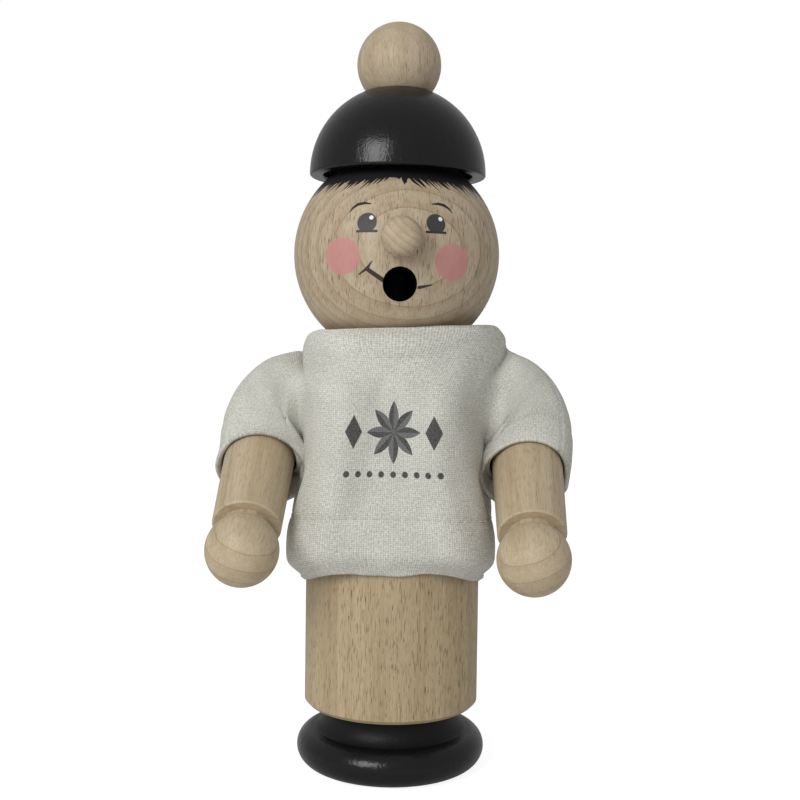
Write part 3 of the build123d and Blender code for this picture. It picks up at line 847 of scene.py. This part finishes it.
def arm_collider():
    top, wrist, length = 8.6 * MM, 7.9 * MM, 48 * MM
    profile = [(wrist / 2, -length - wrist / 2), (wrist, -length)] + arc(top, (0, 0), 0, 85, 10)
    return lathe_collider("arm_collider", profile, 5.0)


def drape(shirt):
    """Lets the shirt settle on the trunk and the arms."""
    bodies = [trunk_collider()]
    for side in SIDES:
        arm = arm_collider()
        swing = Matrix.Rotation(-ARM_TILTS[side], 4, "X")
        arm.matrix_world = Matrix.Translation(PIVOTS[side] * SIM_SCALE) @ swing
        bodies.append(arm)
    cloth = shirt.modifiers.new("Cloth", "CLOTH")
    settings = cloth.settings
    settings.quality = 8
    settings.mass = 0.15
    settings.air_damping = 3.0
    settings.tension_stiffness = 80
    settings.compression_stiffness = 60
    settings.shear_stiffness = 30
    settings.bending_stiffness = 8
    settings.tension_damping = 15
    settings.compression_damping = 15
    settings.shear_damping = 10
    settings.bending_damping = 2
    settings.effector_weights.gravity = 0.25
    settings.vertex_group_mass = "collar"
    cloth.collision_settings.distance_min = 0.01
    cloth.collision_settings.collision_quality = 3
    cloth.point_cache.frame_start = 1
    cloth.point_cache.frame_end = SETTLE_FRAMES
    for now in range(1, SETTLE_FRAMES + 1):
        bpy.context.scene.frame_set(now)
    worn = bpy.data.meshes.new_from_object(shirt.evaluated_get(bpy.context.evaluated_depsgraph_get()))
    shirt.modifiers.remove(cloth)
    shirt.data = worn
    for body in bodies:
        bpy.data.objects.remove(body)
    bpy.context.scene.frame_set(1)


def subdivided(shirt):
    """The worn shirt's points, faces and cut places after one subdivision, at the object's own scale."""
    smooth = shirt.modifiers.new("Subdivision", "SUBSURF")
    smooth.levels = 1
    smooth.uv_smooth = "NONE"
    mesh = bpy.data.meshes.new_from_object(shirt.evaluated_get(bpy.context.evaluated_depsgraph_get()))
    points = np.empty(len(mesh.vertices) * 3)
    mesh.vertices.foreach_get("co", points)
    faces = np.empty(len(mesh.loops), int)
    mesh.loops.foreach_get("vertex_index", faces)
    cuts = np.empty(len(mesh.loops) * 2)
    mesh.uv_layers["cut"].data.foreach_get("uv", cuts)
    bpy.data.objects.remove(shirt)
    return points.reshape(-1, 3) / SIM_SCALE, faces.reshape(-1, 4), cuts.reshape(-1, 4, 2)


def point_normals(points, faces):
    corners = points[faces]
    across = np.cross(corners[:, 2] - corners[:, 0], corners[:, 3] - corners[:, 1])
    normals = np.zeros_like(points)
    for k in range(4):
        np.add.at(normals, faces[:, k], across)
    return normals / np.linalg.norm(normals, axis=1, keepdims=True)


def bell(distance, width):
    return np.exp(-((distance / width) ** 2))


class Worn:
    """The worn shirt's cloth, outside and inside, with its hems, seams and stitch lines in relief."""

    def __init__(self, points, faces, cuts):
        self.faces = faces
        self.cuts = cuts
        flat = np.zeros((len(points), 2))
        back = cuts[:, :, 0] > BACK_OFFSET / 2
        flat[faces.ravel()] = (cuts - np.where(back, BACK_OFFSET, 0.0)[:, :, None] * (1, 0)).reshape(-1, 2)
        self.places = flat
        self.across = np.abs(flat[:, 0])
        self.up = flat[:, 1]
        self.panels = {panel: np.unique(faces[back.all(axis=1) == panel]) for panel in (False, True)}
        normals = point_normals(points, faces)
        points = self.beside_arms(self.curled(points, normals))
        self.middle = points
        half = CLOTH / 2
        self.outer = points + normals * (half + self.relief())[:, None]
        self.inner = points - normals * (half + self.fold())[:, None]
        self.outer_normals = point_normals(self.outer, faces)
        self.inner_normals = -point_normals(self.inner, faces)

    def curled(self, points, normals):
        """The points with the lower hem curled in, but not onto the trunk."""
        curl = HEM_CURL * np.clip(1 - self.up / HEM_CURL_HEIGHT, 0, 1) ** 2
        room = np.linalg.norm(points[:, :2], axis=1) - BODY_RADIUS - CLOTH / 2 - FOLD
        return points - normals * np.minimum(curl, np.maximum(room, 0))[:, None]

    def beside_arms(self, points):
        """The points with the cloth below the armpits kept out of the way of the arms at their lowest."""
        ease = np.clip((ARMPIT - self.up) / ARM_EASE, 0, 1)
        for side in SIDES:
            tilt = ARM_TILTS[side] + math.radians(JOINTS[side + "_arm"]["range_deg"][0])
            way = np.array(arm_way(tilt))
            gap = points - np.array(PIVOTS[side])
            along = gap @ way
            gap -= np.outer(along, way)
            far = np.linalg.norm(gap, axis=1)
            room = np.interp(along, ARM_STATIONS, ARM_RADII) + CLOTH / 2 + ARM_GAP
            points = points + gap * (ease * np.clip(room - far, 0, None) / far)[:, None]
        return points

    def below_shoulder(self):
        """How far a point is from the seam along the shoulder and the top of the sleeve."""
        return np.where(self.across > HALF_NECK, SHIRT_LENGTH - self.up, 1.0)

    def bands(self):
        """How far a point is inside each folded band, negative outside it."""
        collar = np.where(self.across < HALF_NECK, COLLAR_BAND - (SHIRT_LENGTH - self.up), -1.0)
        sleeve = SLEEVE_BAND - (HALF_SPAN - self.across)
        return HEM_BAND - self.up, sleeve, collar

    def fold(self):
        depth = np.max([np.clip(band / FOLD_EDGE, 0, 1) for band in self.bands()], axis=0)
        return FOLD * depth

    def relief(self):
        height = np.zeros(len(self.middle))
        for band in self.bands():
            height -= STITCH_DIP * bell(band, STITCH_DIP_WIDTH)
        seam = self.below_shoulder()
        return height + SEAM_LIFT * bell(seam, SEAM_LIFT_WIDTH) - SEAM_DIP * bell(seam, SEAM_DIP_WIDTH)


def rim_edges(faces):
    """The edges that only one of the faces has, in that face's order, with the face."""
    sides = np.concatenate([np.stack([faces[:, k], faces[:, (k + 1) % 4]], 1) for k in range(4)])
    owners = np.tile(np.arange(len(faces)), 4)
    _, which, uses = np.unique(np.sort(sides, axis=1), axis=0, return_inverse=True, return_counts=True)
    alone = uses[which.ravel()] == 1
    return sides[alone], owners[alone]


def cloth_piece(name, worn, chosen, material):
    """A closed piece of the shirt from the chosen faces, with round hems."""
    faces, cuts = worn.faces[chosen], worn.cuts[chosen]
    hem_sides, hem_owners = rim_edges(worn.faces)
    away = np.zeros_like(worn.middle)
    centres = worn.middle[worn.faces].mean(axis=1)
    for k in range(2):
        np.add.at(away, hem_sides[:, k], worn.middle[hem_sides].mean(axis=1) - centres[hem_owners])
    used = np.unique(faces)
    count = len(used)
    place = np.full(len(worn.middle), -1)
    place[used] = np.arange(count)
    on_hem = np.linalg.norm(away, axis=1) > 0
    away[on_hem] /= np.linalg.norm(away[on_hem], axis=1, keepdims=True)
    lip = (worn.outer + worn.inner) / 2 + away * 0.5 * (CLOTH + FOLD)
    rim = used[on_hem[used]]
    lip_place = np.full(len(worn.middle), -1)
    lip_place[rim] = 2 * count + np.arange(len(rim))
    points = np.concatenate([worn.outer[used], worn.inner[used], lip[rim]])
    normals = np.concatenate([worn.outer_normals[used], worn.inner_normals[used], away[rim]])
    flat = np.zeros((len(worn.middle), 2))
    flat[faces.ravel()] = cuts.reshape(-1, 2)
    quads = [place[faces], place[faces][:, ::-1] + count]
    corner_cuts = [cuts, cuts[:, ::-1]]
    sides, _ = rim_edges(faces)
    hem = {tuple(side) for side in hem_sides}
    for start, end in sides:
        ends = flat[[start, end]]
        if (start, end) in hem:
            strips = [(place[start], lip_place[start], lip_place[end], place[end])]
            strips += [(lip_place[start], place[start] + count, place[end] + count, lip_place[end])]
        else:
            strips = [(place[start], place[start] + count, place[end] + count, place[end])]
        quads.append(np.array(strips))
        corner_cuts.append(np.array([[ends[0], ends[0], ends[1], ends[1]]] * len(strips)))
    piece = mesh_object(name, points.tolist(), np.concatenate(quads).tolist())
    mesh = piece.data
    corner_cuts = np.concatenate(corner_cuts).astype(np.float32)
    mesh.uv_layers.new(name="cut").data.foreach_set("uv", corner_cuts.ravel())
    mesh.polygons.foreach_set("use_smooth", [True] * len(mesh.polygons))
    mesh.normals_split_custom_set_from_vertices(normals.tolist())
    mesh.materials.append(material)
    return piece


def stitch_line(worn, panel, fixed, value, low, high):
    """The outer points and normals along a line of the cut on one panel, from low to high."""
    chosen = worn.panels[panel]
    places = worn.places[chosen]
    free = places[:, 1 - fixed]
    on_line = (np.abs(places[:, fixed] - value) < CELL / 10) & (free >= low) & (free <= high)
    order = chosen[on_line][np.argsort(free[on_line])]
    return worn.outer[order], worn.outer_normals[order]


def stitches(name, lines, material):
    """Short threads along lines of points and normals, their ends drawn down into the cloth."""
    rings, sides = 7, 6
    shares = np.linspace(0, 1, rings)
    swell = np.sqrt(np.clip(1 - (2 * shares - 1) ** 4, 0.06, 1))
    turns = np.arange(sides) * 2 * math.pi / sides
    points, faces = [], []
    for path, normals in lines:
        along = np.concatenate([[0], np.cumsum(np.linalg.norm(np.diff(path, axis=0), axis=1))])
        for start in np.arange(STITCH_PITCH / 3, along[-1] - STITCH_LENGTH, STITCH_PITCH):
            at = start + STITCH_LENGTH * shares
            middle = np.stack([np.interp(at, along, path[:, k]) for k in range(3)], 1)
            normal = np.stack([np.interp(at, along, normals[:, k]) for k in range(3)], 1)
            tangent = np.gradient(middle, axis=0)
            tangent /= np.linalg.norm(tangent, axis=1, keepdims=True)
            aside = np.cross(tangent, normal)
            middle = middle + normal * ((swell - 0.9) * STITCH_RADIUS)[:, None]
            first = len(points)
            for k in range(rings):
                for turn in turns:
                    reach = normal[k] * math.sin(turn) + aside[k] * math.cos(turn)
                    points.append(middle[k] + reach * STITCH_RADIUS * swell[k])
            for k in range(rings - 1):
                for m in range(sides):
                    low, high, turn = first + k * sides, first + (k + 1) * sides, (m + 1) % sides
                    faces.append((low + m, low + turn, high + turn, high + m))
            faces.append(tuple(range(first + sides - 1, first - 1, -1)))
            faces.append(tuple(range(len(points) - sides, len(points))))
    row = mesh_object(name, points, faces)
    row.data.polygons.foreach_set("use_smooth", [True] * len(faces))
    row.data.materials.append(material)
    return row


def floor_and_light():
    """A white table under soft daylight from the front left."""
    scene = bpy.context.scene
    scene.view_settings.view_transform = "Standard"
    world = bpy.data.worlds.new("studio")
    scene.world = world
    world.use_nodes = True
    nodes, links = world.node_tree.nodes, world.node_tree.links
    strength = nodes.new("ShaderNodeMapRange")
    strength.inputs["To Min"].default_value = SKY
    strength.inputs["To Max"].default_value = 1.0
    links.new(nodes.new("ShaderNodeLightPath").outputs["Is Camera Ray"], strength.inputs["Value"])
    back = nodes["Background"]
    back.inputs["Color"].default_value = (1, 1, 1, 1)
    links.new(strength.outputs[0], back.inputs["Strength"])

    table = Graph("white_table")
    diffuse = table.nodes.new("ShaderNodeBsdfDiffuse")
    diffuse.inputs["Color"].default_value = TABLE_GREY
    glow = table.nodes.new("ShaderNodeEmission")
    glow.inputs["Strength"].default_value = TABLE_GLOW
    added = table.nodes.new("ShaderNodeAddShader")
    table.links.new(diffuse.outputs[0], added.inputs[0])
    table.links.new(glow.outputs[0], added.inputs[1])
    bounce = table.nodes.new("ShaderNodeBsdfDiffuse")
    bounce.inputs["Color"].default_value = TABLE_BOUNCE
    choose = table.nodes.new("ShaderNodeMixShader")
    seen = table.nodes.new("ShaderNodeLightPath").outputs["Is Camera Ray"]
    table.links.new(seen, choose.inputs[0])
    table.links.new(bounce.outputs[0], choose.inputs[1])
    table.links.new(added.outputs[0], choose.inputs[2])
    table.links.new(choose.outputs[0], table.nodes["Material Output"].inputs["Surface"])
    half = TABLE_HALF
    corners = [(-half, -half, 0), (half, -half, 0), (half, half, 0), (-half, half, 0)]
    floor = mesh_object("floor", corners, [(0, 1, 2, 3)])
    floor.data.materials.append(table.material)

    turn, rise = KEY_TURN + CAMERA_AZIMUTH, KEY_RISE
    way = Vector((math.sin(turn) * math.cos(rise), -math.cos(turn) * math.cos(rise), math.sin(rise)))
    lamp = bpy.data.lights.new("key", "AREA")
    lamp.size = KEY_SIZE
    lamp.energy = KEY_POWER
    light = bpy.data.objects.new("key", lamp)
    light.location = HEAD_CENTRE * KEY_AIM + way * KEY_DISTANCE
    light.rotation_euler = (-way).to_track_quat("-Z", "Y").to_euler()
    scene.collection.objects.link(light)


def camera():
    data = bpy.data.cameras.new("camera")
    data.sensor_width = SENSOR_WIDTH
    data.lens = FOCAL_PIXELS / PHOTO_PIXELS * SENSOR_WIDTH
    data.clip_start = 0.01
    eye = bpy.data.objects.new("camera", data)
    turn = Matrix.Rotation(CAMERA_AZIMUTH + CAMERA_YAW, 4, "Z")
    tilt = Matrix.Rotation(math.pi / 2 - CAMERA_PITCH, 4, "X")
    roll = Matrix.Rotation(CAMERA_ROLL, 4, "Z")
    place = Vector((math.sin(CAMERA_AZIMUTH), -math.cos(CAMERA_AZIMUTH), 0)) * CAMERA_DISTANCE
    place.z = CAMERA_HEIGHT
    eye.matrix_world = Matrix.Translation(place) @ turn @ tilt @ roll
    bpy.context.scene.collection.objects.link(eye)
    bpy.context.scene.camera = eye


def dress_shirt():
    """The shirt in the three pieces that its motion needs, each with its rows of stitches."""
    shirt = sewn_shirt()
    drape(shirt)
    worn = Worn(*subdivided(shirt))
    cloth, yarn = shirt_cloth(), thread()
    across, up = worn.places[worn.faces].mean(axis=1).T
    starts = np.array([sleeve_start(height) for height in up])
    body = cloth_piece("cloth_shirt_body", worn, np.abs(across) < starts, cloth)
    lines = [stitch_line(worn, panel, 1, HEM_BAND, -HALF_BODY, HALF_BODY) for panel in worn.panels]
    collar = SHIRT_LENGTH - COLLAR_BAND
    lines += [stitch_line(worn, panel, 1, collar, -HALF_NECK, HALF_NECK) for panel in worn.panels]
    rows = stitches("body_stitches", lines, yarn)
    for piece in (body, rows):
        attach(piece, "upper_half")
    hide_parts("shirt_body")
    for side, sign in SIDES.items():
        sleeve = cloth_piece("cloth_%s_sleeve" % side, worn, sign * across > starts, cloth)
        hem = sign * (HALF_SPAN - SLEEVE_BAND)
        lines = [stitch_line(worn, panel, 0, hem, 0, SHIRT_LENGTH) for panel in worn.panels]
        rows = stitches("%s_sleeve_stitches" % side, lines, yarn)
        for piece in (sleeve, rows):
            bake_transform(piece)
        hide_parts(side + "_sleeve")


def finish_wood():
    """A finish for every turned and pressed piece."""
    trunk = beech("beech_trunk", (0, 0, 0), (18 * MM, 52 * MM), fleck_strength=0.85, tint=(0.99, 0.95, 0.82))
    looks = {
        "legs": trunk,
        "torso": trunk,
        "foot_dowel": trunk,
        "cap_dowel": trunk,
        "head": painted_head(),
        "cap_ball": beech("beech_cap_ball", (0, 0, 0), (14 * MM, 42 * MM)),
        "nose": beech("beech_nose", NOSE_CENTRE, (9 * MM, -11 * MM), [("X", math.pi / 2)],
                      ring_gap=1.5 * MM, ring_strength=0.6),
        "cap": black_lacquer("black_cap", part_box("cap")[1].z),
        "base_foot": black_lacquer("black_foot", FOOT_RING_TOP),
        "incense_tray": brass(),
        "tray_nails": steel(),
        "incense_cone": incense(),
    }
    for side, sign in SIDES.items():
        pivot = PIVOTS[side]
        # The arms and hands carry painted light: their tint above one stands for the frontal light falling on
        # them.
        looks[side + "_arm"] = beech("beech_%s_arm" % side, pivot, (sign * 7 * MM, 21 * MM),
                                     [("X", ARM_TILTS[side])], ring_strength=0.4, fleck_strength=0.4,
                                     tint=(1.07, 1.07, 1.03))
        looks[side + "_shoulder_peg"] = beech("beech_%s_peg" % side, pivot, (0, 12 * MM),
                                              [("Y", math.pi / 2)])
    for name, material in looks.items():
        NODES[name].data.materials.clear()
        NODES[name].data.materials.append(material)


floor_and_light()
camera()
finish_wood()
dress_shirt()
